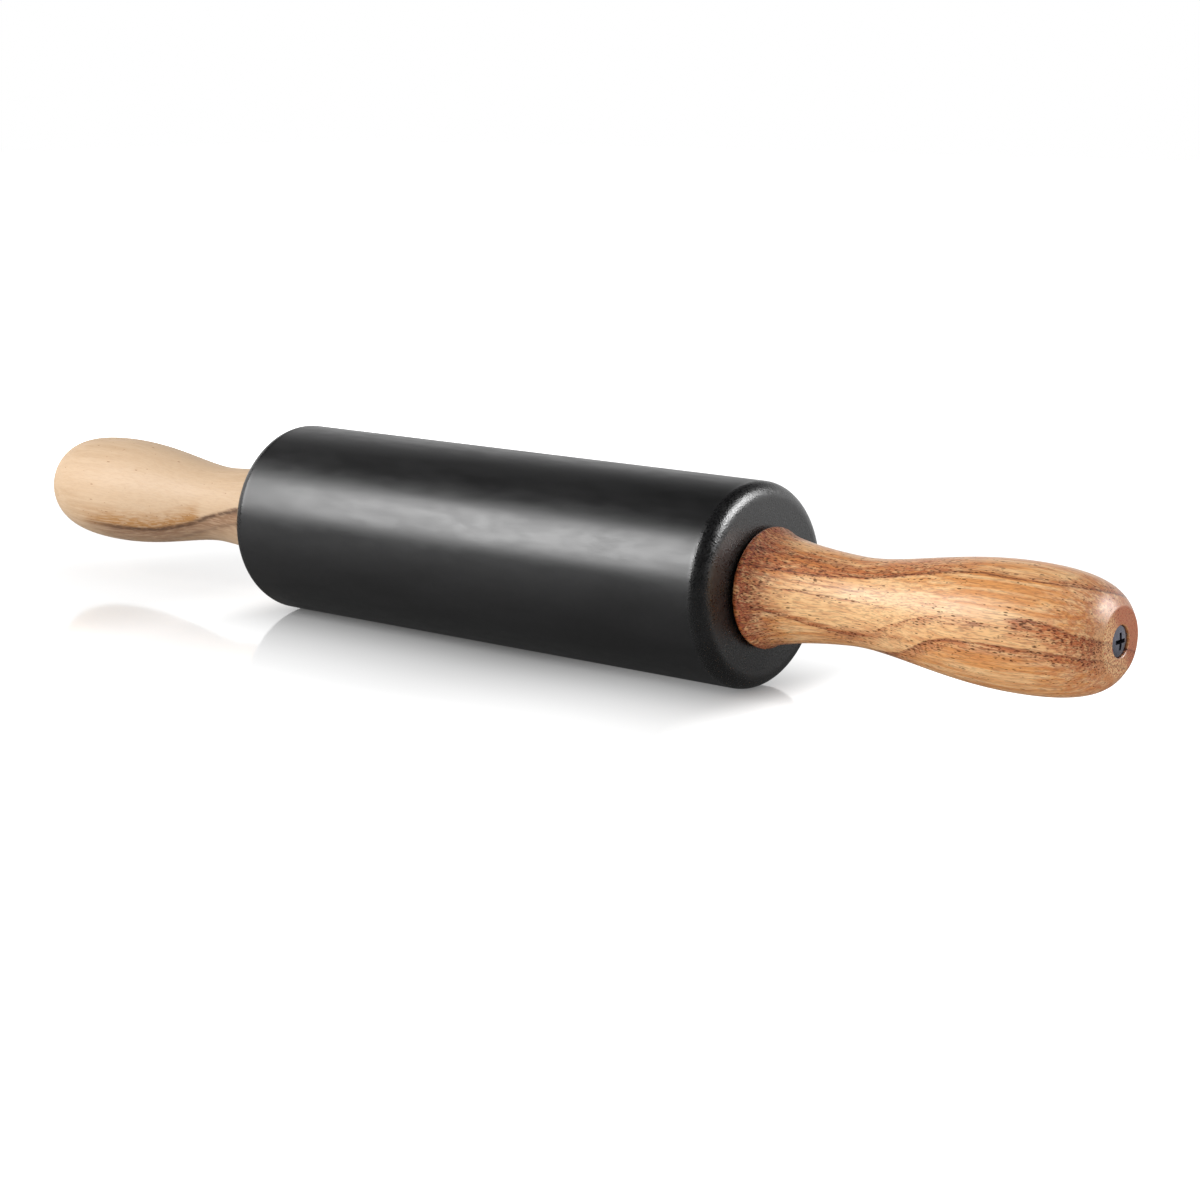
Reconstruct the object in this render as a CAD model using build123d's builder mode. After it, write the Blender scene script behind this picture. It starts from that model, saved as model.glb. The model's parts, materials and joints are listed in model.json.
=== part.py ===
"""A stone rolling pin.

A heavy stone barrel turns on a steel axle between two wooden handles. The pin lies along X on the
surface that it rolls on. The origin is under the middle of the barrel, on that surface, and Z is up.
All sizes are in millimetres.
"""

import os

from build123d import *

# Barrel: a turned stone cylinder with rounded edges
barrel_diameter = 63.0
barrel_length = 200.0
barrel_edge_radius = 5.2

# Bushings: flanged bearings pressed into the ends of the stone
bushing_diameter = 16.0
bushing_length = 22.0
bushing_flange_diameter = 26.0
bushing_flange_thickness = 2.0
bushing_lead_in = 0.6
flange_clearance = 0.15

# Axle: a steel rod with a shoulder and a thinner journal at each end
axle_diameter = 10.0
journal_diameter = 8.0
axle_running_clearance = 0.05
axle_end_chamfer = 0.6
tapped_hole_depth = 18.0

# Thrust washers: they keep the turning stone off the still wood
thrust_washer_diameter = 24.0
thrust_washer_thickness = 0.5
thrust_running_gap = 0.15
journal_clearance = 0.05

# Handles: turned wood, with a foot, a neck, a swell and a flat end
handle_length = 118.2
foot_diameter = 36.7
foot_edge_radius = 1.6
neck_diameter = 26.2
swell_diameter = 37.2
end_flat_diameter = 19.2

# How steeply, in degrees, the side falls away from the foot's edge and towards the flat end
foot_slope = 32.0
end_slope = 52.0

# Where the neck and the swell lie along the handle
neck_place_share = 0.295
swell_place_share = 0.745
# How far each stretch of the side keeps to its direction at its start and at its end
foot_to_neck_shares = (0.20, 0.16)
neck_to_swell_shares = (0.27, 0.42)
swell_to_end_shares = (0.83, 0.13)

# End screws: domed heads with a cross recess, sunk just below the handle's flat end
screw_diameter = 5.0
screw_length = 14.0
screw_tip_chamfer = 0.5
head_diameter = 8.7
head_height = 2.8
head_side_height = 2.3
head_depth = 0.1
cross_length = 5.0
cross_width = 1.2
cross_depth = 1.7
cross_taper = 10.0

# End washers: under the heads, at the bottom of each handle's counterbore
end_washer_thickness = 1.0
end_washer_clearance = 0.15
counterbore_diameter = 9.2
counterbore_chamfer = 0.2
screw_hole_clearance = 0.15
axle_end_gap = 1.0

# Radii and places that follow from the sizes above
axis_height = barrel_diameter / 2
barrel_end = barrel_length / 2
shoulder_place = barrel_end + thrust_running_gap
handle_foot = shoulder_place + thrust_washer_thickness
handle_end = handle_foot + handle_length
head_top = handle_end - head_depth
head_seat = head_top - head_height
counterbore_floor = head_seat - end_washer_thickness
axle_end = counterbore_floor - axle_end_gap
journal_bore_radius = journal_diameter / 2 + journal_clearance
axis_line = Axis((0, 0, axis_height), (1, 0, 0))

SIDES = {"left": -1, "right": 1}


def facing_plane(side, place):
    """The plane square to the pin at a place along it, facing outward on that side."""
    return Plane(origin=(side * place, 0, axis_height), z_dir=(side, 0, 0))


def turning_plane(side, place):
    """The upright plane through the pin's axis, with x outward from a place and y away from the axis."""
    return Plane(origin=(side * place, 0, axis_height), x_dir=(side, 0, 0), z_dir=(0, -side, 0))


def finish(part, name):
    """Label one piece and write it to its own file."""
    part.label = name
    export_step(part, f"parts/{name}.step")
    size = part.bounding_box().size
    print(f"{name}: {part.volume:.1f} mm3, {size.X:.2f} x {size.Y:.2f} x {size.Z:.2f} mm")


def make_barrel():
    """The stone: a cylinder with rounded edges, bored through, with a seat for each bushing flange."""
    with BuildPart() as barrel:
        with BuildSketch(facing_plane(1, 0)):
            Circle(barrel_diameter / 2)
        extrude(amount=barrel_end, both=True)
        fillet(barrel.edges().filter_by(GeomType.CIRCLE), radius=barrel_edge_radius)
        with BuildSketch(facing_plane(1, 0)):
            Circle(bushing_diameter / 2)
        extrude(amount=barrel_end, both=True, mode=Mode.SUBTRACT)
        for side in SIDES.values():
            with BuildSketch(facing_plane(side, barrel_end)):
                Circle(bushing_flange_diameter / 2 + flange_clearance)
            extrude(amount=-bushing_flange_thickness, mode=Mode.SUBTRACT)
    return barrel.part


def make_bushing(side):
    """A flanged sleeve, flush with the stone's end face, that the axle runs in."""
    flange_seat = barrel_end - bushing_flange_thickness
    bore_radius = axle_diameter / 2 + axle_running_clearance
    with BuildPart() as bushing:
        with BuildSketch(facing_plane(side, flange_seat)):
            Circle(bushing_flange_diameter / 2)
        extrude(amount=bushing_flange_thickness)
        with BuildSketch(facing_plane(side, flange_seat)):
            Circle(bushing_diameter / 2)
        extrude(amount=-bushing_length)
        inner_rim = bushing.faces().sort_by(Axis.X)[0 if side > 0 else -1].edges()
        chamfer(inner_rim, length=bushing_lead_in)
        with BuildSketch(facing_plane(side, barrel_end)):
            Circle(bore_radius)
        extrude(amount=-(bushing_flange_thickness + bushing_length), mode=Mode.SUBTRACT)
    return bushing.part


def make_axle():
    """The rod: thick between its shoulders, thinner in the handles, tapped at both ends."""
    with BuildPart() as axle:
        with BuildSketch(facing_plane(1, 0)):
            Circle(axle_diameter / 2)
        extrude(amount=shoulder_place, both=True)
        for side in SIDES.values():
            with BuildSketch(facing_plane(side, shoulder_place)):
                Circle(journal_diameter / 2)
            extrude(amount=axle_end - shoulder_place)
            end_rim = axle.faces().sort_by(Axis.X)[-1 if side > 0 else 0].edges()
            chamfer(end_rim, length=axle_end_chamfer)
            with BuildSketch(facing_plane(side, axle_end)):
                Circle(screw_diameter / 2)
            extrude(amount=-tapped_hole_depth, mode=Mode.SUBTRACT)
    return axle.part


def make_washer(side, place, thickness, outer_radius, hole_radius):
    """A flat ring that starts at a place along the pin and is as thick as given."""
    with BuildPart() as washer:
        with BuildSketch(facing_plane(side, place)):
            Circle(outer_radius)
            Circle(hole_radius, mode=Mode.SUBTRACT)
        extrude(amount=thickness)
    return washer.part


def stretch_points(start, end, shares, start_slope=0, end_slope=0):
    """The control points of a smooth stretch of a handle's side, with its fall in degrees at each end.

    The shares say how much of the stretch's length it keeps to its direction there.
    """
    length = end.X - start.X
    start_pull = Vector(length * shares[0], 0).rotate(Axis.Z, -start_slope)
    end_pull = Vector(length * shares[1], 0).rotate(Axis.Z, -end_slope)
    return start, start + start_pull, end - end_pull, end


def make_handle(side):
    """A turned handle, bored for the axle's journal and counterbored for the screw and its washer."""
    foot_center = (foot_edge_radius, foot_diameter / 2 - foot_edge_radius)
    neck = Vector(handle_length * neck_place_share, neck_diameter / 2)
    swell = Vector(handle_length * swell_place_share, swell_diameter / 2)
    flat = Vector(handle_length, end_flat_diameter / 2)
    with BuildPart() as handle:
        with BuildSketch(turning_plane(side, handle_foot)):
            with BuildLine():
                foot = CenterArc(foot_center, foot_edge_radius, 180, -(90 + foot_slope))
                Bezier(stretch_points(foot @ 1, neck, foot_to_neck_shares, start_slope=foot_slope))
                Bezier(stretch_points(neck, swell, neck_to_swell_shares))
                Bezier(stretch_points(swell, flat, swell_to_end_shares, end_slope=end_slope))
                Polyline(flat, (handle_length, 0), (0, 0), foot @ 0)
            make_face()
        revolve(axis=axis_line)
        with BuildSketch(facing_plane(side, handle_foot)):
            Circle(journal_bore_radius)
        extrude(amount=counterbore_floor - handle_foot, mode=Mode.SUBTRACT)
        with BuildSketch(facing_plane(side, counterbore_floor)):
            Circle(counterbore_diameter / 2)
        extrude(amount=handle_end - counterbore_floor, mode=Mode.SUBTRACT)
        end_face = handle.faces().sort_by(Axis.X)[-1 if side > 0 else 0]
        chamfer(end_face.edges().sort_by(SortBy.RADIUS)[0], length=counterbore_chamfer)
    return handle.part


def make_screw(side):
    """A domed screw with a cross recess in its head and a plain shank in the axle's tapped hole."""
    head_radius = head_diameter / 2
    dome_height = head_height - head_side_height
    dome_radius = (head_radius**2 + dome_height**2) / (2 * dome_height)
    with BuildPart() as screw:
        with BuildSketch(turning_plane(side, head_seat)):
            with BuildLine():
                Polyline((head_height, 0), (0, 0), (0, head_radius), (head_side_height, head_radius))
                RadiusArc((head_side_height, head_radius), (head_height, 0), dome_radius)
            make_face()
        revolve(axis=axis_line)
        with BuildSketch(facing_plane(side, head_seat)):
            Circle(screw_diameter / 2)
        extrude(amount=-screw_length)
        tip_rim = screw.faces().sort_by(Axis.X)[0 if side > 0 else -1].edges()
        chamfer(tip_rim, length=screw_tip_chamfer)
        with BuildSketch(facing_plane(side, head_top)):
            Rectangle(cross_length, cross_width)
            Rectangle(cross_width, cross_length)
        extrude(amount=-cross_depth, taper=cross_taper, mode=Mode.SUBTRACT)
    return screw.part


os.makedirs("parts", exist_ok=True)
finish(make_barrel(), "barrel")
finish(make_axle(), "axle")
for side_name, side in SIDES.items():
    finish(make_bushing(side), f"{side_name}_bushing")
    thrust_washer = make_washer(
        side, shoulder_place, thrust_washer_thickness, thrust_washer_diameter / 2, journal_bore_radius
    )
    finish(thrust_washer, f"{side_name}_thrust_washer")
    finish(make_handle(side), f"{side_name}_handle")
    end_washer = make_washer(
        side,
        counterbore_floor,
        end_washer_thickness,
        counterbore_diameter / 2 - end_washer_clearance,
        screw_diameter / 2 + screw_hole_clearance,
    )
    finish(end_washer, f"{side_name}_end_washer")
    finish(make_screw(side), f"{side_name}_end_screw")
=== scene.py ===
"""A stone rolling pin, dressed for its picture.

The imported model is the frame: its bodies, its pieces and their boxes. The stone barrel and the two
turned handles are made again here as fine turned meshes, and the small metal and plastic pieces keep
their own shapes and get their finishes. All lengths are in metres.
"""

import json
from math import cos, pi, radians, sin
from typing import NamedTuple

import bmesh
import bpy
from bpy.props import FloatProperty, FloatVectorProperty, PointerProperty
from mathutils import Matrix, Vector
from mathutils.geometry import interpolate_bezier


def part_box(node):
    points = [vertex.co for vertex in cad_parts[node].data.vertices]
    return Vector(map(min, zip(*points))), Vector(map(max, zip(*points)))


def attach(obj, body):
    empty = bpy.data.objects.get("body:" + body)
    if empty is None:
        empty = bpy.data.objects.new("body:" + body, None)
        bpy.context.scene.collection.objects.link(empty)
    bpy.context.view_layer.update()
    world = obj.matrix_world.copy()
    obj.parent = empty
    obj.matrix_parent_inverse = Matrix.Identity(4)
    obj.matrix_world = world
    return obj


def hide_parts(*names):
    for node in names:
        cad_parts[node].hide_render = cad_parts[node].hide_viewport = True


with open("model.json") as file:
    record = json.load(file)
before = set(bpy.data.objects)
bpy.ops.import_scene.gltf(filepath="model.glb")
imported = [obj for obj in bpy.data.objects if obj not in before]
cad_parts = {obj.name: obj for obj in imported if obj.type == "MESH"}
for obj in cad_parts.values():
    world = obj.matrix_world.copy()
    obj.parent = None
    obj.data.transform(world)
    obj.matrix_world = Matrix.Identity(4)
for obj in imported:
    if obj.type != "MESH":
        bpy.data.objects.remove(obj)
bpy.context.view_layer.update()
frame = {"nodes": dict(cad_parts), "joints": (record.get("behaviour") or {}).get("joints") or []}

bl_info = {
    "name": "Stone Rolling Pin",
    "version": (1, 0, 0),
    "blender": (4, 5, 0),
    "location": "3D View > Sidebar > Rolling Pin",
    "description": "Makes a stone rolling pin with turned wooden handles around its packed model",
    "category": "Object",
}

SIDES = {"left": -1, "right": 1}
MM = 0.001

# The turned meshes: how finely their outlines are drawn and carried round, and how sharp an edge stays sharp
TURN = 2 * pi
TURN_STEPS = 224
SIDE_STEPS = 48
FOOT_STEPS = 14
BARREL_EDGE_STEPS = 20
SOFTENING_STEPS = 6
SHARP_EDGE = radians(30)

# How far each stretch of a handle's side keeps to its direction at its start and at its end
FOOT_TO_NECK = (0.20, 0.16)
NECK_TO_SWELL = (0.27, 0.42)
SWELL_TO_END = (0.83, 0.13)
SOFTENING_PULL = 0.6

# The stone's clouds, the wood's grain and the plastic's skin: lengths along the pin and widths across it
CLOUD_SIZE = (40 * MM, 9 * MM)
MOTTLE_SIZE = (9 * MM, 3 * MM)
FIBRE_SIZE = (10 * MM, 0.6 * MM)
FINE_FIBRE_SIZE = (3 * MM, 0.35 * MM)
STREAK_SIZE = (40 * MM, 1.7 * MM)
PORE_PATCH_SIZE = (14 * MM, 2.5 * MM)
LINE_BREAK_SIZE = (3 * MM, 0.4 * MM)
LONG_PORE = (2.4 * MM, 0.6 * MM)
SHORT_PORE = (1.2 * MM, 0.45 * MM)
SKIN_SIZE = 0.6 * MM

# Where a pore begins and where it is darkest, in widths from its middle
PORE_RIM = 0.42
PORE_CORE = 0.22

# Growth lines: how they start and stop, how their shade begins, and the waves in the rings with their shares
LINE_START = 6 * MM
LINE_END = 30 * MM
SHADE_START = 0.12
RING_WAVINESS = 2.6 * MM
RING_WAVES = ((34 * MM, 9 * MM, 1.0), (7 * MM, 2 * MM, 0.35), (2.5 * MM, 0.5 * MM, 0.2))

# The soft boxes, and the way behind the pin, where reflections show the white background
KEY_PLACE = (-0.72, -0.73, 0.51)
TOP_PLACE = (0, 0.15, 1.5)
RIM_PLACE = (1.07, 0.52, 0.83)
KEY_HEIGHT_SHARE = 0.85
RIM_HEIGHT_SHARE = 0.72
BEHIND = (sin(radians(-25)), cos(radians(-25)), 0)


def tone(red, green, blue):
    """A colour as Blender keeps it, from its usual screen values of 0 to 255."""
    shares = [value / 255 for value in (red, green, blue)]
    return [share / 12.92 if share <= 0.04045 else ((share + 0.055) / 1.055) ** 2.4 for share in shares]


def box_width(node):
    """How wide a turned node is across the pin's axis."""
    low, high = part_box(node)
    return high.y - low.y


# The frame's own sizes
AXIS_HEIGHT = frame["joints"][0]["pos_m"][2]
BARREL_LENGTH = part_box("barrel")[1].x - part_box("barrel")[0].x
BARREL_DIAMETER = 2 * AXIS_HEIGHT
HANDLE_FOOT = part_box("right_handle")[0].x
HANDLE_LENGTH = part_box("right_handle")[1].x - HANDLE_FOOT
COUNTERBORE_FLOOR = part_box("right_end_washer")[0].x


def length(name, default, description):
    """A size that a user may change."""
    return FloatProperty(name=name, default=default, description=description, unit="LENGTH", precision=5)


def share(name, default, description):
    """A part of a whole, from 0 to 1."""
    return FloatProperty(name=name, default=default, description=description, min=0, max=1, subtype="FACTOR")


def angle(name, default, description):
    """An angle that a user may change, given in degrees and kept in radians."""
    return FloatProperty(name=name, default=radians(default), description=description, subtype="ANGLE")


def colour(name, default, description):
    """A colour that a user may change."""
    return FloatVectorProperty(
        name=name, default=tone(*default), description=description, subtype="COLOR", size=3, min=0, max=1
    )


class BarrelSettings(bpy.types.PropertyGroup):
    """The stone's sizes and finish."""

    edge_radius: length("Edge Radius", 5.2 * MM, "Rounding between the stone's side and its end faces")
    bore_diameter: length("Bore", 16 * MM, "The hole through the stone that the bearings fit in")
    seat_diameter: length("Seat", 26.3 * MM, "The recess in each end face for a bearing's flange")
    seat_depth: length("Seat Depth", 2 * MM, "How deep a bearing's flange sits")
    dark: colour("Dark", (13, 13, 14), "The stone where it is darkest")
    light: colour("Light", (19, 19, 20), "The stone's paler clouds")
    roughness: share("Roughness", 0.355, "How much the honed side scatters its reflections")
    grain: length("Grain", 0.65 * MM, "The size of the stone's finest grain")


class HandleSettings(bpy.types.PropertyGroup):
    """The turned profile that both handles share."""

    foot_diameter: length("Foot", 36.7 * MM, "The diameter next to the stone")
    foot_edge_radius: length("Foot Edge", 1.6 * MM, "Rounding of the foot's rim")
    foot_slope: angle("Foot Slope", 32, "How steeply the side falls away from the foot's rim")
    neck_diameter: length("Neck", 26.2 * MM, "The thinnest diameter")
    neck_place: share("Neck Place", 0.295, "Where the neck lies along the handle")
    swell_diameter: length("Swell", box_width("right_handle"), "The thickest diameter, in the palm")
    swell_place: share("Swell Place", 0.745, "Where the swell lies along the handle")
    end_slope: angle("End Slope", 52, "How steeply the side falls towards the flat end")
    flat_diameter: length("Flat End", 19.2 * MM, "The diameter of the flat end")
    flat_softening: length("Flat Softening", 0.5 * MM, "How far the flat end's rim is rubbed down")
    bore_diameter: length("Bore", 8.1 * MM, "The hole for the rod")
    counterbore_diameter: length("Counterbore", 9.2 * MM, "The hole for the screw's head")
    counterbore_chamfer: length("Counterbore Chamfer", 0.2 * MM, "The bevel at the mouth of that hole")


class TanWoodSettings(bpy.types.PropertyGroup):
    """The colours of the right handle's wood."""

    pale: colour("Pale", (232, 188, 132), "The palest streaks")
    body: colour("Body", (214, 146, 76), "The wood's main colour")
    warm: colour("Warm", (182, 98, 42), "The redder bands along a growth line")
    deep: colour("Deep", (124, 56, 22), "The darkest bands")
    line: colour("Line", (98, 46, 18), "The growth lines themselves")
    pore: colour("Pore", (60, 28, 12), "Open pores")
    end: colour("End", (170, 72, 32), "Where the fibres are cut across")
    roughness: share("Roughness", 0.5, "How much the bare wood scatters its reflections")
    oil: share("Oil", 0.8, "How much oil lies on the wood")
    oil_roughness: share("Oil Roughness", 0.36, "How much the oil scatters its reflections")


class PaleWoodSettings(bpy.types.PropertyGroup):
    """The colours of the left handle's wood."""

    pale: colour("Pale", (186, 159, 129), "The palest streaks")
    body: colour("Body", (178, 150, 119), "The wood's main colour")
    warm: colour("Warm", (158, 112, 58), "The golden wood along the growth line")
    deep: colour("Deep", (120, 84, 56), "The darker heartwood")
    line: colour("Line", (78, 52, 32), "The growth lines themselves")
    pore: colour("Pore", (134, 98, 66), "Open pores")
    end: colour("End", (178, 146, 114), "Where the fibres are cut across")
    roughness: share("Roughness", 0.6, "How much the bare wood scatters its reflections")
    oil: share("Oil", 0.4, "How much oil lies on the wood")
    oil_roughness: share("Oil Roughness", 0.5, "How much the oil scatters its reflections")


class HardwareSettings(bpy.types.PropertyGroup):
    """The finishes of the metal and the plastic pieces."""

    screw: colour("Screw", (104, 104, 114), "The screws in the handles' ends")
    steel: colour("Steel", (186, 188, 190), "The rod and the flat washers")
    nylon: colour("Nylon", (225, 222, 212), "The bearings")
    washer: colour("Washer", (46, 46, 48), "The thin washers between stone and wood")


class StageSettings(bpy.types.PropertyGroup):
    """The floor, the light and the camera."""

    floor: colour("Floor", (232, 232, 232), "The pale table, as the light from it reaches the pin")
    floor_seen: colour("Floor Seen", (165, 165, 165), "The table's own colour as the camera sees it")
    # Painted shade: the table near the pin as reflections see it, darker than it is
    floor_painted_mirror_shade: colour("Floor Mirrored", (54, 54, 54), "The table near the pin, as the stone mirrors it")
    # Painted shade around the pin: the camera's white is added only away from its contact
    floor_lift: share("Floor Lift", 0.5, "White added for the camera away from the pin's contact")
    floor_wash: share("Floor Wash", 0.35, "More white for the camera before the pin and at its right")
    # A painted glow that lightens the table in the stone's reflections, and a glow that lights the pin's
    # underside in place of bounced light
    floor_glow: share("Floor Glow", 0.07, "White added where the stone mirrors the table")
    floor_bounce: share("Floor Bounce", 0.3, "Light that the table adds to the pin's underside")
    floor_size: length("Floor Size", 8, "How wide the table is")
    fill: share("Fill", 0.7, "Even light from all round")
    key_strength: FloatProperty(name="Key", default=13.2, description="Power of the soft box at the left")
    key_size: length("Key Size", 0.72, "How wide the soft box at the left is")
    top_strength: FloatProperty(name="Top", default=7, description="Power of the soft box overhead")
    top_size: length("Top Size", 1.6, "How wide the soft box overhead is")
    rim_strength: FloatProperty(name="Rim", default=27, description="Power of the soft box at the back right")
    rim_size: length("Rim Size", 0.92, "How wide the soft box at the back right is")
    lens: FloatProperty(name="Lens", default=79.13, description="The camera's focal length in millimetres")
    sensor: FloatProperty(name="Sensor", default=36, description="The width of its sensor in millimetres")
    camera_place: FloatVectorProperty(
        name="Camera",
        default=(0.55535, -0.62575, 0.18471),
        description="Where the camera stands",
        subtype="XYZ",
    )
    camera_fall: angle("Camera Fall", 11.503, "How far the camera looks down")
    camera_turn: angle("Camera Turn", 39.704, "How far it turns to the left from looking along Y")


# Node trees


def feed(tree, socket, value):
    """Join a value to a socket: another socket is linked, and anything else is typed in."""
    if isinstance(value, bpy.types.NodeSocket):
        tree.links.new(value, socket)
    elif socket.type == "RGBA" and len(value) == 3:
        socket.default_value = (*value, 1)
    else:
        socket.default_value = value


def add_node(tree, kind, inputs=None, **settings):
    """A new node with its settings and inputs, which are named or numbered."""
    node = tree.nodes.new(kind)
    for name, value in settings.items():
        setattr(node, name, value)
    for name, value in (inputs or {}).items():
        feed(tree, node.inputs[name], value)
    return node


def calc(tree, operation, *values):
    """The result of a Math node."""
    return add_node(tree, "ShaderNodeMath", dict(enumerate(values)), operation=operation).outputs[0]


def vector_calc(tree, operation, *vectors):
    """The outputs of a Vector Math node: Vector, or Value where the result is one number."""
    return add_node(tree, "ShaderNodeVectorMath", dict(enumerate(vectors)), operation=operation).outputs


def times(tree, first, second):
    """One value times another."""
    return calc(tree, "MULTIPLY", first, second)


def without_sign(tree, value):
    """How large a value is, whichever way it points."""
    return calc(tree, "ABSOLUTE", value)


def strongest(tree, *values):
    """The largest of several values at each point."""
    result = values[0]
    for value in values[1:]:
        result = calc(tree, "MAXIMUM", result, value)
    return result


def ease(tree, value, start, end, low=0.0, high=1.0):
    """A smooth step from one value to another while the input goes from start to end."""
    inputs = {"Value": value, "From Min": start, "From Max": end, "To Min": low, "To Max": high}
    node = add_node(tree, "ShaderNodeMapRange", inputs, interpolation_type="SMOOTHSTEP")
    return node.outputs["Result"]


def blend(tree, factor, first, second):
    """A colour between two colours."""
    node = add_node(tree, "ShaderNodeMix", data_type="RGBA")
    feed(tree, node.inputs[0], factor)
    feed(tree, node.inputs[6], first)
    feed(tree, node.inputs[7], second)
    return node.outputs[2]


def split(tree, vector):
    """The three parts of a vector."""
    return add_node(tree, "ShaderNodeSeparateXYZ", {0: vector}).outputs


def join(tree, *parts):
    """A vector from its parts."""
    return add_node(tree, "ShaderNodeCombineXYZ", dict(enumerate(parts))).outputs[0]


def start_group(name, inputs, outputs):
    """An empty shader group with its sockets, and its input and output nodes."""
    tree = bpy.data.node_groups.new(name, "ShaderNodeTree")
    for direction, sockets in (("INPUT", inputs), ("OUTPUT", outputs)):
        for socket_name, kind in sockets.items():
            tree.interface.new_socket(name=socket_name, in_out=direction, socket_type=f"NodeSocket{kind}")
    return tree, tree.nodes.new("NodeGroupInput"), tree.nodes.new("NodeGroupOutput")


def use_group(tree, name, inputs):
    """The outputs of one use of a shader group, with its own values."""
    group = bpy.data.node_groups[name]
    return add_node(tree, "ShaderNodeGroup", inputs, node_tree=group).outputs


def count_cells(tree, given):
    """A group's place, counted in cells as long and as wide as its inputs say."""
    cell = join(tree, given.outputs["Length"], given.outputs["Width"], given.outputs["Width"])
    return vector_calc(tree, "DIVIDE", given.outputs["Vector"], cell)["Vector"]


def make_grain_group():
    """Soft noise that is longer along the pin than across it."""
    inputs = {"Vector": "Vector", "Length": "Float", "Width": "Float", "Detail": "Float"}
    tree, given, result = start_group("Long Grain", inputs, {"Grain": "Float"})
    noise_inputs = {"Vector": count_cells(tree, given), "Scale": 1.0, "Detail": given.outputs["Detail"]}
    noise = add_node(tree, "ShaderNodeTexNoise", noise_inputs)
    feed(tree, result.inputs["Grain"], noise.outputs[0])


def make_pore_group():
    """Open pores: short dark dashes along the fibres, which are dots where the fibres are cut across."""
    inputs = {"Vector": "Vector", "Length": "Float", "Width": "Float", "Share": "Float"}
    tree, given, result = start_group("Pores", inputs, {"Pores": "Float"})
    cells = add_node(tree, "ShaderNodeTexVoronoi", {"Vector": count_cells(tree, given), "Scale": 1.0})
    spot = ease(tree, cells.outputs["Distance"], PORE_RIM, PORE_CORE)
    pick = add_node(tree, "ShaderNodeSeparateColor", {0: cells.outputs["Color"]})
    chosen = calc(tree, "LESS_THAN", pick.outputs[0], given.outputs["Share"])
    feed(tree, result.inputs["Pores"], times(tree, spot, chosen))


def long_grain(tree, place, grain_length, grain_width, detail):
    """Soft noise of a given length and width at a place."""
    values = {"Vector": place, "Length": grain_length, "Width": grain_width, "Detail": detail}
    return use_group(tree, "Long Grain", values)[0]


def make_depth_group():
    """How deep a point lies across the growth rings, measured from the handle's axis, with some waviness."""
    inputs = {"Vector": "Vector", "Across": "Vector", "Offset": "Vector", "Waviness": "Float"}
    tree, given, result = start_group("Ring Depth", inputs, {"Depth": "Float"})
    get = given.outputs
    depth = vector_calc(tree, "DOT_PRODUCT", get["Vector"], get["Across"])["Value"]
    moved = vector_calc(tree, "ADD", get["Vector"], get["Offset"])["Vector"]
    for wave_length, wave_width, wave_share in RING_WAVES:
        wave = long_grain(tree, moved, wave_length, wave_width, 2.0)
        swing = times(tree, calc(tree, "SUBTRACT", wave, 0.5), get["Waviness"])
        depth = calc(tree, "MULTIPLY_ADD", swing, wave_share, depth)
    feed(tree, result.inputs["Depth"], depth)


def make_line_group():
    """One growth line: a thin dark line, and the shade that spreads from it to one side.

    The line lies at one depth along the handle's foot and at another along its end, and bends between
    two places. It starts and stops softly between its first and its last place.
    """
    places = ("Depth", "Along", "Foot Depth", "End Depth", "Bend Start", "Bend End", "First", "Last")
    inputs = dict.fromkeys((*places, "Width", "Reach"), "Float")
    tree, given, result = start_group("Growth Line", inputs, {"Line": "Float", "Shade": "Float"})
    get = given.outputs
    bend = (get["Bend Start"], get["Bend End"])
    line_depth = ease(tree, get["Along"], *bend, get["Foot Depth"], get["End Depth"])
    beyond = calc(tree, "SUBTRACT", get["Depth"], line_depth)
    begun = ease(tree, get["Along"], get["First"], calc(tree, "ADD", get["First"], LINE_START))
    ended = ease(tree, get["Along"], calc(tree, "SUBTRACT", get["Last"], LINE_END), get["Last"], 1.0, 0.0)
    present = times(tree, begun, ended)
    core = ease(tree, without_sign(tree, beyond), 0.0, get["Width"], 1.0, 0.0)
    share_out = calc(tree, "DIVIDE", beyond, get["Reach"])
    spread = ease(tree, share_out, 0.0, 1.0, 1.0, 0.0)
    this_side = ease(tree, share_out, -SHADE_START, 0.0)
    feed(tree, result.inputs["Line"], times(tree, core, present))
    feed(tree, result.inputs["Shade"], times(tree, times(tree, spread, this_side), present))


def start_material(name):
    """A material with its tree and its Principled shader."""
    material = bpy.data.materials.new(name)
    material.use_nodes = True
    return material, material.node_tree, material.node_tree.nodes["Principled BSDF"]


def object_place(tree):
    """Where a point of the piece is, and which way its surface faces there."""
    coordinates = add_node(tree, "ShaderNodeTexCoord")
    return coordinates.outputs["Object"], coordinates.outputs["Normal"]


def facing_along(tree, facing):
    """How squarely a surface faces along the pin, from 0 to 1."""
    return without_sign(tree, split(tree, facing)[0])


def rough_surface(tree, shader, height, distance):
    """Give a shader the small relief of a height."""
    bump = add_node(tree, "ShaderNodeBump", {"Height": height, "Distance": distance})
    feed(tree, shader.inputs["Normal"], bump.outputs[0])


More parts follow.
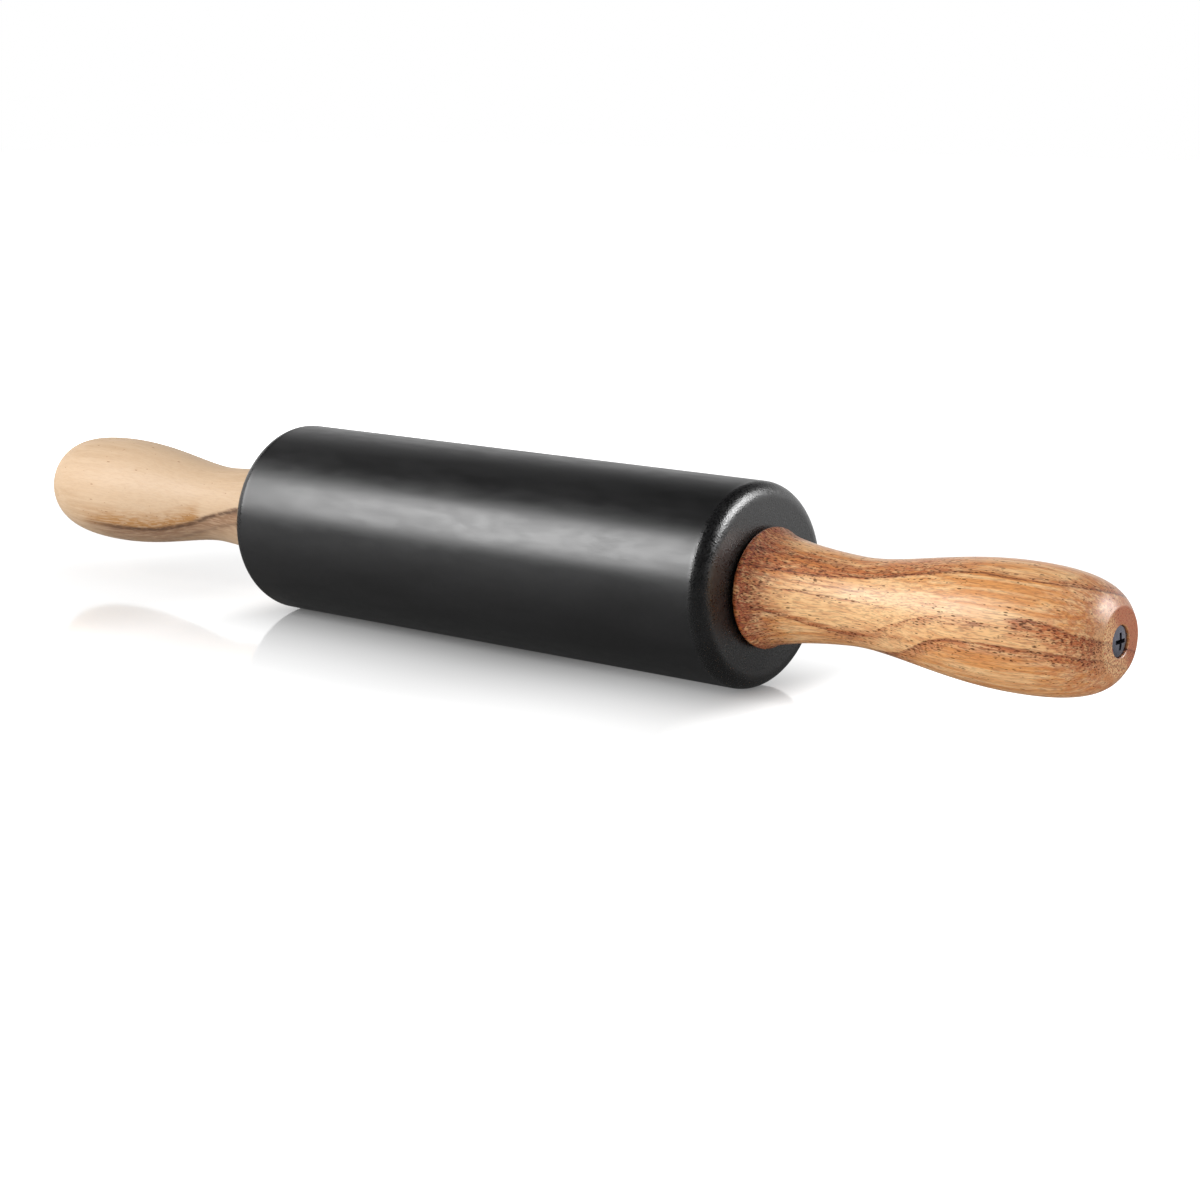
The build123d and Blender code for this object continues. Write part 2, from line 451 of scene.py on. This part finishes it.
def make_stone(settings):
    """Honed black stone: cloudy along the side, and a coarser grain on the rounded edges."""
    material, tree, shader = start_material("honed_black_stone")
    place, facing = object_place(tree)
    cloud = long_grain(tree, place, *CLOUD_SIZE, 3.0)
    mottle = long_grain(tree, place, *MOTTLE_SIZE, 2.0)
    grain = long_grain(tree, place, settings.grain, settings.grain, 2.0)
    along = without_sign(tree, split(tree, place)[0])
    edge_start = BARREL_LENGTH / 2 - settings.edge_radius
    edge = ease(tree, along, edge_start - MM, edge_start + MM)
    end_face = ease(tree, facing_along(tree, facing), 0.8, 1.0)
    clouded = ease(tree, cloud, 0.35, 0.65)
    feed(tree, shader.inputs["Base Color"], blend(tree, clouded, settings.dark, settings.light))

    # Duller clouds on the side, glints on the edges' grain, and slightly duller end faces
    hazy = times(tree, calc(tree, "ADD", cloud, mottle), 0.5)
    honed = ease(tree, hazy, 0.36, 0.64, settings.roughness - 0.03, settings.roughness + 0.04)
    glints = times(tree, edge, ease(tree, grain, 0.45, 0.62, 0.0, -0.14))
    uneven = calc(tree, "MULTIPLY_ADD", end_face, 0.04, glints)
    feed(tree, shader.inputs["Roughness"], calc(tree, "ADD", honed, uneven))
    shader.inputs["Specular IOR Level"].default_value = 0.8
    relief = times(tree, grain, calc(tree, "MULTIPLY_ADD", edge, 0.97, 0.03))
    rough_surface(tree, shader, relief, 0.08 * MM)
    return material


class GrowthLine(NamedTuple):
    """One line of a wood's figure, in millimetres, and how strongly it and its bands show.

    The depths are those at the foot and at the end, and the line bends between two places and shows
    over its span. Its bands spread as far as its reach, towards greater depth where that is positive.
    """

    depths: tuple
    bend: tuple
    span: tuple
    width: float
    reach: float
    line: float = 0.0
    shade: float = 0.0
    dark: float = 0.0


class Figure(NamedTuple):
    """How a wood's figure lies in a handle. The offset is in metres, and other lengths in millimetres."""

    across_angle: float
    offset: tuple
    lines: list
    # The patch where the wood is painted paler as a highlight: its depth, reach, place and length
    painted_highlight_depth: float
    painted_highlight_reach: float
    painted_highlight_place: float
    painted_highlight_length: float
    foot_reach: float
    foot_share: float
    end_reach: float
    end_share: float
    pore_share: float
    stray_share: float
    fibre_share: float
    fleck_share: float


class Spot(NamedTuple):
    """The sockets that tell where a point of a handle lies.

    They are its places along, behind and above the axis, its place moved for the noise, its depth across
    the growth rings, and how squarely the fibres are cut there.
    """

    along: bpy.types.NodeSocket
    behind: bpy.types.NodeSocket
    height: bpy.types.NodeSocket
    moved: bpy.types.NodeSocket
    depth: bpy.types.NodeSocket
    cut: bpy.types.NodeSocket


def find_spot(tree, figure):
    """A point's place from the handle's foot and axis, its ring depth, and whether fibres are cut there."""
    place, facing = object_place(tree)
    x, y, z = split(tree, place)
    along = calc(tree, "SUBTRACT", without_sign(tree, x), HANDLE_FOOT)
    height = calc(tree, "SUBTRACT", z, AXIS_HEIGHT)
    centred = join(tree, along, y, height)
    moved = vector_calc(tree, "ADD", centred, figure.offset)["Vector"]
    across = (0, -cos(figure.across_angle), sin(figure.across_angle))
    values = {"Vector": centred, "Across": across, "Offset": figure.offset, "Waviness": RING_WAVINESS}
    depth = use_group(tree, "Ring Depth", values)[0]
    cut = ease(tree, facing_along(tree, facing), 0.7, 0.97)
    return Spot(along, y, height, moved, depth, cut)


def find_lines(tree, figure, spot):
    """The growth lines, and the warm and the dark bands beside them: the strongest of each at every point."""
    marks = []
    shades = []
    darks = []
    for each in figure.lines:
        values = {
            "Depth": spot.depth,
            "Along": spot.along,
            "Foot Depth": each.depths[0] * MM,
            "End Depth": each.depths[1] * MM,
            "Bend Start": each.bend[0] * MM,
            "Bend End": each.bend[1] * MM,
            "First": each.span[0] * MM,
            "Last": each.span[1] * MM,
            "Width": each.width * MM,
            "Reach": each.reach * MM,
        }
        found = use_group(tree, "Growth Line", values)
        marks.append(times(tree, found["Line"], each.line))
        shades.append(times(tree, found["Shade"], each.shade))
        darks.append(times(tree, found["Shade"], each.dark))
    return strongest(tree, *marks), strongest(tree, *shades), strongest(tree, *darks)


def colour_ground(tree, settings, figure, spot, fibres):
    """The wood between the growth lines: pale and brown streaks, redder fibres, and one paler patch where the
    light falls, a painted highlight laid over the wood's own streaks.
    """
    # Painted highlight: the streaks turn pale in a patch around one depth and place, where the light falls
    off_depth = calc(tree, "SUBTRACT", spot.depth, figure.painted_highlight_depth * MM)
    off_place = calc(tree, "SUBTRACT", spot.along, figure.painted_highlight_place * MM)
    depth_share = calc(tree, "DIVIDE", off_depth, 2 * figure.painted_highlight_reach * MM)
    place_share = calc(tree, "DIVIDE", off_place, figure.painted_highlight_length * MM)
    off_highlight = vector_calc(tree, "LENGTH", join(tree, depth_share, place_share))["Value"]
    off_highlight_band = ease(tree, without_sign(tree, off_depth), 0.0, figure.painted_highlight_reach * MM, 0.25, 1.0)
    brownness = times(tree, off_highlight_band, ease(tree, off_highlight, 0.35, 1.1, 0.2, 1.0))
    streaks = long_grain(tree, spot.moved, *STREAK_SIZE, 2.0)
    browned = times(tree, ease(tree, streaks, 0.36, 0.64), brownness)
    ground = blend(tree, browned, settings.pale, settings.body)
    return blend(tree, ease(tree, fibres, 0.4, 0.68, 0.0, figure.fibre_share), ground, settings.warm)


def colour_bands(tree, settings, ground, shade, dark, fibres):
    """Warm and dark bands beside the growth lines, broken up by the fibres."""
    banded = times(tree, shade, ease(tree, fibres, 0.32, 0.6, 0.4, 1.25))
    warmed = blend(tree, calc(tree, "MINIMUM", banded, 1.0), ground, settings.warm)
    darkened = times(tree, dark, ease(tree, fibres, 0.32, 0.6, 0.6, 1.0))
    return blend(tree, darkened, warmed, settings.deep)


def colour_ends(tree, settings, figure, spot, banded, foot, fibres):
    """The redder foot and tip, and the cut fibres of the flat end, speckled towards its low front."""
    tip = ease(tree, spot.along, HANDLE_LENGTH - figure.end_reach * MM, HANDLE_LENGTH, 0.0, figure.end_share)
    reddened = times(tree, strongest(tree, foot, tip), ease(tree, fibres, 0.36, 0.58, 0.35, 1.1))
    ended = blend(tree, reddened, banded, settings.end)
    low_front = calc(tree, "MULTIPLY_ADD", spot.height, -0.6, times(tree, spot.behind, -1.0))
    lowness = ease(tree, low_front, -3 * MM, 4 * MM, 0.2, 1.0)
    speckles = times(tree, ease(tree, fibres, 0.38, 0.54), lowness)
    cut_wood = blend(tree, speckles, settings.end, settings.pale)
    return blend(tree, times(tree, spot.cut, 0.9), ended, cut_wood)


def find_pores(tree, figure, spot, crowding):
    """Open pores of two sizes, closer together where the wood is darker."""
    pore_share = calc(tree, "MULTIPLY_ADD", crowding, figure.pore_share, figure.stray_share)
    pores = []
    for (pore_length, pore_width), strength in ((LONG_PORE, 1.0), (SHORT_PORE, 0.85)):
        values = {"Vector": spot.moved, "Length": pore_length, "Width": pore_width, "Share": pore_share}
        pores.append(times(tree, use_group(tree, "Pores", values)[0], strength))
    return strongest(tree, *pores)


def make_wood(name, settings, figure):
    """Oiled wood: growth lines, fibres, open pores, and darker cut ends."""
    material, tree, shader = start_material(name)
    spot = find_spot(tree, figure)
    line, shade, dark = find_lines(tree, figure, spot)
    fibres = long_grain(tree, spot.moved, *FIBRE_SIZE, 3.0)
    fine = long_grain(tree, spot.moved, *FINE_FIBRE_SIZE, 2.0)
    patches = long_grain(tree, spot.moved, *PORE_PATCH_SIZE, 1.0)
    breaks = long_grain(tree, spot.moved, *LINE_BREAK_SIZE, 1.0)
    foot = ease(tree, spot.along, figure.foot_reach * MM, 0.0, 0.0, figure.foot_share)

    # The colour: ground, bands, cut ends, flecks, growth lines, and pores on top
    ground = colour_ground(tree, settings, figure, spot, fibres)
    banded = colour_bands(tree, settings, ground, shade, dark, fibres)
    ended = colour_ends(tree, settings, figure, spot, banded, foot, fibres)
    darker = strongest(tree, shade, foot)
    fleck_strength = calc(tree, "MULTIPLY_ADD", darker, figure.fleck_share, figure.fleck_share)
    flecks = times(tree, ease(tree, fine, 0.47, 0.62), fleck_strength)
    flecked = blend(tree, flecks, ended, settings.line)
    broken_line = times(tree, line, ease(tree, breaks, 0.35, 0.5, 0.25, 1.0))
    lined = blend(tree, broken_line, flecked, settings.line)
    crowding = strongest(tree, shade, foot, ease(tree, patches, 0.54, 0.7, 0.0, 0.3))
    pores = find_pores(tree, figure, spot, crowding)
    feed(tree, shader.inputs["Base Color"], blend(tree, times(tree, pores, 0.85), lined, settings.pore))

    # The finish: oil lies over all but the pores and the cut fibres
    rubbed = ease(tree, fibres, 0.3, 0.7, settings.roughness - 0.05, settings.roughness + 0.05)
    feed(tree, shader.inputs["Roughness"], calc(tree, "MULTIPLY_ADD", pores, 0.2, rubbed))
    shader.inputs["Specular IOR Level"].default_value = 0.3
    dry = times(tree, strongest(tree, pores, times(tree, spot.cut, 0.85)), settings.oil)
    feed(tree, shader.inputs["Coat Weight"], calc(tree, "SUBTRACT", settings.oil, dry))
    shader.inputs["Coat Roughness"].default_value = settings.oil_roughness
    relief = calc(tree, "SUBTRACT", times(tree, fine, 0.6), times(tree, pores, 0.6))
    rough_surface(tree, shader, relief, 0.02 * MM)
    return material


def make_metal(name, base, roughness, mark_length, mark_width):
    """Bare metal with fine marks from its making."""
    material, tree, shader = start_material(name)
    marks = long_grain(tree, object_place(tree)[0], mark_length, mark_width, 3.0)
    darker = [value * 0.55 for value in base]
    feed(tree, shader.inputs["Base Color"], blend(tree, ease(tree, marks, 0.3, 0.7, 0.0, 0.35), base, darker))
    shader.inputs["Metallic"].default_value = 1.0
    feed(tree, shader.inputs["Roughness"], ease(tree, marks, 0.3, 0.7, roughness - 0.06, roughness + 0.08))
    rough_surface(tree, shader, marks, 0.01 * MM)
    return material


def make_plastic(name, base, roughness):
    """Moulded plastic with a faintly uneven skin."""
    material, tree, shader = start_material(name)
    skin = long_grain(tree, object_place(tree)[0], SKIN_SIZE, SKIN_SIZE, 2.0)
    darker = [value * 0.8 for value in base]
    feed(tree, shader.inputs["Base Color"], blend(tree, ease(tree, skin, 0.3, 0.7, 0.0, 0.2), base, darker))
    feed(tree, shader.inputs["Roughness"], ease(tree, skin, 0.3, 0.7, roughness - 0.05, roughness + 0.05))
    rough_surface(tree, shader, skin, 0.01 * MM)
    return material


def make_tan_wood(settings):
    """The right handle's wood: golden, with reddish growth lines that sweep along the side."""
    figure = Figure(
        across_angle=radians(-75),
        offset=(0.011, 0.023, 0.037),
        lines=[
            GrowthLine((-5.4, -12.4), (20, 84), (-8, 150), 0.45, -3.0, line=0.75, shade=0.4, dark=0.1),
            GrowthLine((-5.4, -12.4), (20, 84), (-8, 90), 0.3, -9.0, shade=0.75, dark=0.05),
            GrowthLine((-10.5, -9.5), (5, 30), (-8, 46), 0.8, -4.0, line=0.5, shade=0.8, dark=0.2),
            GrowthLine((-2.7, -2.7), (0, 40), (-8, 62), 0.25, 0.8, line=0.4, shade=0.45),
            GrowthLine((0.3, 0.3), (0, 40), (-8, 62), 0.25, 0.8, line=0.5, shade=0.45),
            GrowthLine((7.4, 9.6), (5, 34), (-8, 68), 0.6, -2.6, line=0.35, shade=0.75, dark=0.15),
            GrowthLine((10.2, 1.0), (36, 72), (24, 104), 0.6, 3.6, shade=0.5),
            GrowthLine((13.5, 6.8), (50, 76), (40, 170), 0.6, 4.5, line=0.4, shade=0.7, dark=0.05),
            GrowthLine((-1.0, 1.6), (98, 118), (90, 170), 0.6, 8.0, line=0.45, shade=0.8, dark=0.05),
        ],
        # The painted highlight's patch
        painted_highlight_depth=3.0,
        painted_highlight_reach=7.0,
        painted_highlight_place=46.0,
        painted_highlight_length=34.0,
        foot_reach=18,
        foot_share=0.85,
        end_reach=22,
        end_share=0.45,
        pore_share=0.8,
        stray_share=0.02,
        fibre_share=0.4,
        fleck_share=0.35,
    )
    return make_wood("tan_wood", settings, figure)


def make_pale_wood(settings):
    """The left handle's wood: pale sapwood, with darker heartwood below one dark line."""
    figure = Figure(
        across_angle=radians(-90),
        offset=(0.071, 0.013, 0.057),
        lines=[
            GrowthLine((-2.0, 10.8), (6, 68), (2, 98), 1.3, 2.0, line=0.9),
            GrowthLine((-2.0, 10.8), (6, 68), (2, 108), 1.0, 14.0, dark=0.9),
            GrowthLine((-2.0, 10.8), (6, 68), (34, 108), 0.5, -9.0, shade=1.0),
            GrowthLine((2.4, 15.0), (6, 68), (2, 70), 1.2, 3.0, line=0.35, dark=0.3),
        ],
        # The painted highlight's patch
        painted_highlight_depth=-6.0,
        painted_highlight_reach=9.0,
        painted_highlight_place=60.0,
        painted_highlight_length=40.0,
        foot_reach=6,
        foot_share=0.3,
        end_reach=6,
        end_share=0.2,
        pore_share=0.12,
        stray_share=0.004,
        fibre_share=0.08,
        fleck_share=0.06,
    )
    return make_wood("pale_wood", settings, figure)


# Turned shapes: an outline is a list of points, each a place along the pin and a distance from its axis


def arc(centre, radius, start, end, steps):
    """Points on a round stretch of an outline, between two angles."""
    angles = [start + (end - start) * step / steps for step in range(steps + 1)]
    return [Vector((centre[0] + radius * cos(turn), centre[1] + radius * sin(turn))) for turn in angles]


def stretch(start, end, pulls, start_slope=0.0, end_slope=0.0):
    """A smooth stretch of an outline that leaves and arrives at the given falls.

    The pulls say how much of the stretch's length it keeps to its direction at each end.
    """
    reach = end.x - start.x
    leave = Vector((cos(start_slope), -sin(start_slope))) * reach * pulls[0]
    arrive = Vector((cos(end_slope), -sin(end_slope))) * reach * pulls[1]
    return interpolate_bezier(start, start + leave, end - arrive, end, SIDE_STEPS)


def handle_outline(sizes):
    """The handle's closed outline, from its bore at the foot round the outside and back into its bore."""
    foot_radius = sizes.foot_diameter / 2
    rim = sizes.foot_edge_radius
    foot = arc((rim, foot_radius - rim), rim, pi, pi / 2 - sizes.foot_slope, FOOT_STEPS)
    neck = Vector((HANDLE_LENGTH * sizes.neck_place, sizes.neck_diameter / 2))
    swell = Vector((HANDLE_LENGTH * sizes.swell_place, sizes.swell_diameter / 2))
    corner = Vector((HANDLE_LENGTH, sizes.flat_diameter / 2))
    fall = Vector((cos(sizes.end_slope), -sin(sizes.end_slope)))
    flat_start = corner - fall * sizes.flat_softening
    flat_end = corner - Vector((0, sizes.flat_softening))
    start_pull = flat_start.lerp(corner, SOFTENING_PULL)
    end_pull = flat_end.lerp(corner, SOFTENING_PULL)
    bore = sizes.bore_diameter / 2
    hole = sizes.counterbore_diameter / 2
    mouth = sizes.counterbore_chamfer
    hole_floor = COUNTERBORE_FLOOR - HANDLE_FOOT
    return [
        Vector((0, bore)),
        *foot,
        *stretch(foot[-1], neck, FOOT_TO_NECK, start_slope=sizes.foot_slope)[1:],
        *stretch(neck, swell, NECK_TO_SWELL)[1:],
        *stretch(swell, flat_start, SWELL_TO_END, end_slope=sizes.end_slope)[1:],
        *interpolate_bezier(flat_start, start_pull, end_pull, flat_end, SOFTENING_STEPS)[1:],
        Vector((HANDLE_LENGTH, hole + mouth)),
        Vector((HANDLE_LENGTH - mouth, hole)),
        Vector((hole_floor, hole)),
        Vector((hole_floor, bore)),
    ]


def barrel_outline(sizes):
    """The stone's closed outline: its side, its rounded edges, the seats in its ends, and its bore."""
    half = BARREL_LENGTH / 2
    radius = BARREL_DIAMETER / 2
    edge = sizes.edge_radius
    bore = sizes.bore_diameter / 2
    seat = sizes.seat_diameter / 2
    seat_floor = half - sizes.seat_depth
    right = [
        *arc((half - edge, radius - edge), edge, pi / 2, 0, BARREL_EDGE_STEPS),
        Vector((half, seat)),
        Vector((seat_floor, seat)),
        Vector((seat_floor, bore)),
    ]
    left = [Vector((-point.x, point.y)) for point in reversed(right)]
    return left + right


def turn_mesh(name, outline):
    """A closed turned mesh: the outline carried round the pin's axis."""
    mesh = bpy.data.meshes.new(name)
    turning = bmesh.new()
    rings = []
    for step in range(TURN_STEPS):
        turn = TURN * step / TURN_STEPS
        places = [(point.x, -point.y * cos(turn), AXIS_HEIGHT + point.y * sin(turn)) for point in outline]
        rings.append([turning.verts.new(place) for place in places])
    for step, ring in enumerate(rings):
        following = rings[(step + 1) % TURN_STEPS]
        for index in range(len(outline)):
            after = (index + 1) % len(outline)
            turning.faces.new((ring[index], ring[after], following[after], following[index]))
    bmesh.ops.recalc_face_normals(turning, faces=turning.faces)
    turning.to_mesh(mesh)
    turning.free()
    mesh.shade_smooth()
    mesh.set_sharp_from_angle(angle=SHARP_EDGE)
    piece = bpy.data.objects.new(name, mesh)
    bpy.context.scene.collection.objects.link(piece)
    return piece


def dress(piece, material, body, slot, *nodes):
    """Finish a new piece: its material, the body that it moves with, and the nodes that it stands for."""
    piece.data.materials.append(material)
    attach(piece, body)
    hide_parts(*nodes)


def paint_node(node, material):
    """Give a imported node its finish."""
    for slot in frame["nodes"][node].material_slots:
        slot.material = material


def whiten_floor(tree, settings, x, y, reach):
    """The white that the camera sees on the table: none where the pin rests, and more away from it, so that
    the table darkens towards the pin as a painted shade over its real shadow.
    """
    beside = strongest(tree, calc(tree, "SUBTRACT", without_sign(tree, x), BARREL_LENGTH * 0.48), 0.0)
    away = vector_calc(tree, "LENGTH", join(tree, times(tree, beside, 2.5), y))["Value"]
    # Painted shade: less white towards the pin's contact, and less on the left
    lift = ease(tree, away, -BARREL_DIAMETER * 0.25, BARREL_DIAMETER, 0.0, settings.floor_lift)
    clear = times(tree, lift, ease(tree, x, -BARREL_LENGTH * 0.75, -BARREL_LENGTH * 0.5, 0.68, 1.0))
    paler_right = ease(tree, x, 0.0, BARREL_LENGTH * 0.4, 0.0, settings.floor_wash * 0.3)

    # The table before the pin and beyond its right end
    before = times(tree, y, -1.0)
    front = ease(tree, before, BARREL_DIAMETER * 0.7, BARREL_DIAMETER * 1.8, 0.0, settings.floor_wash)
    front = times(tree, front, ease(tree, x, -BARREL_LENGTH * 0.8, -BARREL_LENGTH * 0.5))
    right = ease(tree, x, BARREL_LENGTH * 0.5, BARREL_LENGTH * 0.65, 0.0, settings.floor_wash)
    washed = strongest(tree, front, right)
    far = ease(tree, reach, BARREL_LENGTH * 1.35, BARREL_LENGTH * 2.5)
    by_pin = calc(tree, "ADD", clear, washed)
    return calc(tree, "ADD", by_pin, calc(tree, "ADD", paler_right, far))


def make_table_material(settings):
    """A pale, faintly glossy table, darker near the pin as the stone mirrors it: a painted shade that only
    reflections see.
    """
    material, tree, shader = start_material("pale_table")
    x, y = split(tree, object_place(tree)[0])[:2]
    paths = add_node(tree, "ShaderNodeLightPath").outputs
    seen = paths["Is Camera Ray"]
    mirrored = paths["Is Glossy Ray"]
    reach = vector_calc(tree, "LENGTH", join(tree, x, y))["Value"]
    # Painted shade in reflections: near and before the pin the table turns darker for glossy rays only
    before_pin = ease(tree, y, 0.12, 0.02)
    near_pin = ease(tree, reach, BARREL_LENGTH * 2.2, BARREL_LENGTH * 0.5)
    painted_mirror_shade = times(tree, mirrored, strongest(tree, before_pin, near_pin))
    unseen = blend(tree, painted_mirror_shade, settings.floor, settings.floor_painted_mirror_shade)
    feed(tree, shader.inputs["Base Color"], blend(tree, seen, unseen, settings.floor_seen))
    feed(tree, shader.inputs["Roughness"], calc(tree, "MULTIPLY_ADD", mirrored, 0.6, 0.08))
    shader.inputs["Emission Color"].default_value = (1, 1, 1, 1)
    # The table glows though it is no lamp: a painted glow for reflections, and a glow for the pin's underside
    glow = times(tree, mirrored, settings.floor_glow)
    bounce = times(tree, paths["Is Diffuse Ray"], settings.floor_bounce)
    white = whiten_floor(tree, settings, x, y, reach)
    strength = calc(tree, "MULTIPLY_ADD", seen, white, calc(tree, "ADD", glow, bounce))
    feed(tree, shader.inputs["Emission Strength"], strength)
    return material


def make_floor(settings):
    """The table that the pin rests on."""
    mesh = bpy.data.meshes.new("floor")
    half = settings.floor_size / 2
    corners = [(-half, -half, 0), (half, -half, 0), (half, half, 0), (-half, half, 0)]
    mesh.from_pydata(corners, [], [(0, 1, 2, 3)])
    mesh.materials.append(make_table_material(settings))
    floor = bpy.data.objects.new("floor", mesh)
    bpy.context.scene.collection.objects.link(floor)


def make_sky(settings):
    """Even light from all round, and a white background that darkens overhead in reflections."""
    world = bpy.data.worlds.new("studio")
    world.use_nodes = True
    bpy.context.scene.world = world
    tree = world.node_tree
    background = tree.nodes["Background"]
    paths = add_node(tree, "ShaderNodeLightPath")
    direction = add_node(tree, "ShaderNodeTexCoord").outputs["Generated"]
    up = split(tree, direction)[2]
    behind = vector_calc(tree, "DOT_PRODUCT", direction, BEHIND)["Value"]
    mirrored = times(tree, ease(tree, up, 0.7, 0.25), ease(tree, behind, -0.1, 0.4, 0.05, 1.0))
    glossy = add_node(tree, "ShaderNodeMix", data_type="FLOAT")
    feed(tree, glossy.inputs[0], paths.outputs["Is Glossy Ray"])
    feed(tree, glossy.inputs[2], settings.fill)
    feed(tree, glossy.inputs[3], mirrored)
    seen = strongest(tree, paths.outputs["Is Camera Ray"], glossy.outputs[0])
    background.inputs["Color"].default_value = (1, 1, 1, 1)
    feed(tree, background.inputs["Strength"], seen)


def add_lamp(name, power, width, height, place, target):
    """A soft box that faces a point."""
    lamp = bpy.data.lights.new(name, "AREA")
    lamp.shape = "RECTANGLE"
    lamp.size = width
    lamp.size_y = height
    lamp.energy = power
    holder = bpy.data.objects.new(name, lamp)
    holder.location = place
    holder.rotation_euler = (Vector(target) - Vector(place)).to_track_quat("-Z", "Y").to_euler()
    bpy.context.scene.collection.objects.link(holder)
    return holder


def make_lamps(settings):
    """A soft box at the left, one overhead that reflections leave out, and one that only they show."""
    middle = (0, 0, AXIS_HEIGHT)
    straight_ahead = (KEY_PLACE[0], 0, AXIS_HEIGHT)
    key_height = settings.key_size * KEY_HEIGHT_SHARE
    add_lamp("key_box", settings.key_strength, settings.key_size, key_height, KEY_PLACE, straight_ahead)
    top = add_lamp("top_box", settings.top_strength, settings.top_size, settings.top_size, TOP_PLACE, middle)
    top.visible_glossy = False
    rim_height = settings.rim_size * RIM_HEIGHT_SHARE
    rim = add_lamp("rim_box", settings.rim_strength, settings.rim_size, rim_height, RIM_PLACE, middle)
    rim.visible_diffuse = False


def make_camera(settings):
    """The camera, at the picture's angle."""
    lens = bpy.data.cameras.new("camera")
    lens.lens = settings.lens
    lens.sensor_width = settings.sensor
    camera = bpy.data.objects.new("camera", lens)
    camera.location = settings.camera_place
    camera.rotation_euler = (pi / 2 - settings.camera_fall, 0, settings.camera_turn)
    bpy.context.scene.collection.objects.link(camera)
    bpy.context.scene.camera = camera


class ROLLING_PIN_OT_stage(bpy.types.Operator):
    """Make the floor, the light and the camera"""

    bl_idname = "rolling_pin.stage"
    bl_label = "Stage"

    def execute(self, context):
        settings = context.scene.rolling_pin_stage
        make_floor(settings)
        make_sky(settings)
        make_lamps(settings)
        make_camera(settings)
        context.scene.view_settings.view_transform = "Standard"
        return {"FINISHED"}


class ROLLING_PIN_OT_barrel(bpy.types.Operator):
    """Make the stone barrel"""

    bl_idname = "rolling_pin.barrel"
    bl_label = "Barrel"

    def execute(self, context):
        settings = context.scene.rolling_pin_barrel
        barrel = turn_mesh("stone_barrel", barrel_outline(settings))
        dress(barrel, make_stone(settings), "roller", "black_stone", "barrel")
        return {"FINISHED"}


class ROLLING_PIN_OT_handles(bpy.types.Operator):
    """Make both turned handles"""

    bl_idname = "rolling_pin.handles"
    bl_label = "Handles"

    def execute(self, context):
        sizes = context.scene.rolling_pin_handle
        for side_name, side in SIDES.items():
            outline = [Vector((side * (HANDLE_FOOT + point.x), point.y)) for point in handle_outline(sizes)]
            handle = turn_mesh(f"turned_{side_name}_handle", outline)
            if side_name == "right":
                material = make_tan_wood(context.scene.rolling_pin_tan_wood)
                slot = "tan_wood"
            else:
                material = make_pale_wood(context.scene.rolling_pin_pale_wood)
                slot = "pale_wood"
            dress(handle, material, "handles", slot, f"{side_name}_handle")
        return {"FINISHED"}


class ROLLING_PIN_OT_screws(bpy.types.Operator):
    """Finish the end screws and their washers"""

    bl_idname = "rolling_pin.screws"
    bl_label = "Screws"

    def execute(self, context):
        settings = context.scene.rolling_pin_hardware
        screw = make_metal("screw_metal", settings.screw, 0.26, 1.6 * MM, 1.6 * MM)
        steel = make_metal("washer_steel", settings.steel, 0.35, 0.6 * MM, 0.6 * MM)
        for side_name in SIDES:
            paint_node(f"{side_name}_end_screw", screw)
            paint_node(f"{side_name}_end_washer", steel)
        return {"FINISHED"}


class ROLLING_PIN_OT_bearings(bpy.types.Operator):
    """Finish the rod, the bearings and the thin washers"""

    bl_idname = "rolling_pin.bearings"
    bl_label = "Rod and Bearings"

    def execute(self, context):
        settings = context.scene.rolling_pin_hardware
        rod = make_metal("rod_steel", settings.steel, 0.28, 20 * MM, 0.2 * MM)
        nylon = make_plastic("nylon", settings.nylon, 0.5)
        washer = make_plastic("washer_plastic", settings.washer, 0.55)
        paint_node("axle", rod)
        for side_name in SIDES:
            paint_node(f"{side_name}_bushing", nylon)
            paint_node(f"{side_name}_thrust_washer", washer)
        return {"FINISHED"}


class ROLLING_PIN_PT_pieces(bpy.types.Panel):
    """The rolling pin's pieces and their settings"""

    bl_idname = "ROLLING_PIN_PT_pieces"
    bl_label = "Rolling Pin"
    bl_space_type = "VIEW_3D"
    bl_region_type = "UI"
    bl_category = "Rolling Pin"

    def draw(self, context):
        for operator, groups in PANEL_ROWS:
            box = self.layout.box()
            box.operator(operator.bl_idname)
            for group in groups:
                settings = getattr(context.scene, group)
                for name in settings.bl_rna.properties.keys():
                    if name not in ("rna_type", "name"):
                        box.prop(settings, name)


SETTINGS = {
    "rolling_pin_stage": StageSettings,
    "rolling_pin_barrel": BarrelSettings,
    "rolling_pin_handle": HandleSettings,
    "rolling_pin_tan_wood": TanWoodSettings,
    "rolling_pin_pale_wood": PaleWoodSettings,
    "rolling_pin_hardware": HardwareSettings,
}
PANEL_ROWS = (
    (ROLLING_PIN_OT_stage, ("rolling_pin_stage",)),
    (ROLLING_PIN_OT_barrel, ("rolling_pin_barrel",)),
    (ROLLING_PIN_OT_handles, ("rolling_pin_handle", "rolling_pin_tan_wood", "rolling_pin_pale_wood")),
    (ROLLING_PIN_OT_screws, ("rolling_pin_hardware",)),
    (ROLLING_PIN_OT_bearings, ()),
)
CLASSES = (*SETTINGS.values(), *(operator for operator, groups in PANEL_ROWS), ROLLING_PIN_PT_pieces)


def register():
    for each in CLASSES:
        bpy.utils.register_class(each)
    for name, group in SETTINGS.items():
        setattr(bpy.types.Scene, name, PointerProperty(type=group))


def unregister():
    for name in SETTINGS:
        delattr(bpy.types.Scene, name)
    for each in reversed(CLASSES):
        bpy.utils.unregister_class(each)


def main():
    register()
    make_grain_group()
    make_pore_group()
    make_depth_group()
    make_line_group()
    bpy.ops.rolling_pin.stage()
    bpy.ops.rolling_pin.barrel()
    bpy.ops.rolling_pin.handles()
    bpy.ops.rolling_pin.screws()
    bpy.ops.rolling_pin.bearings()


if __name__ == "__main__":
    main()
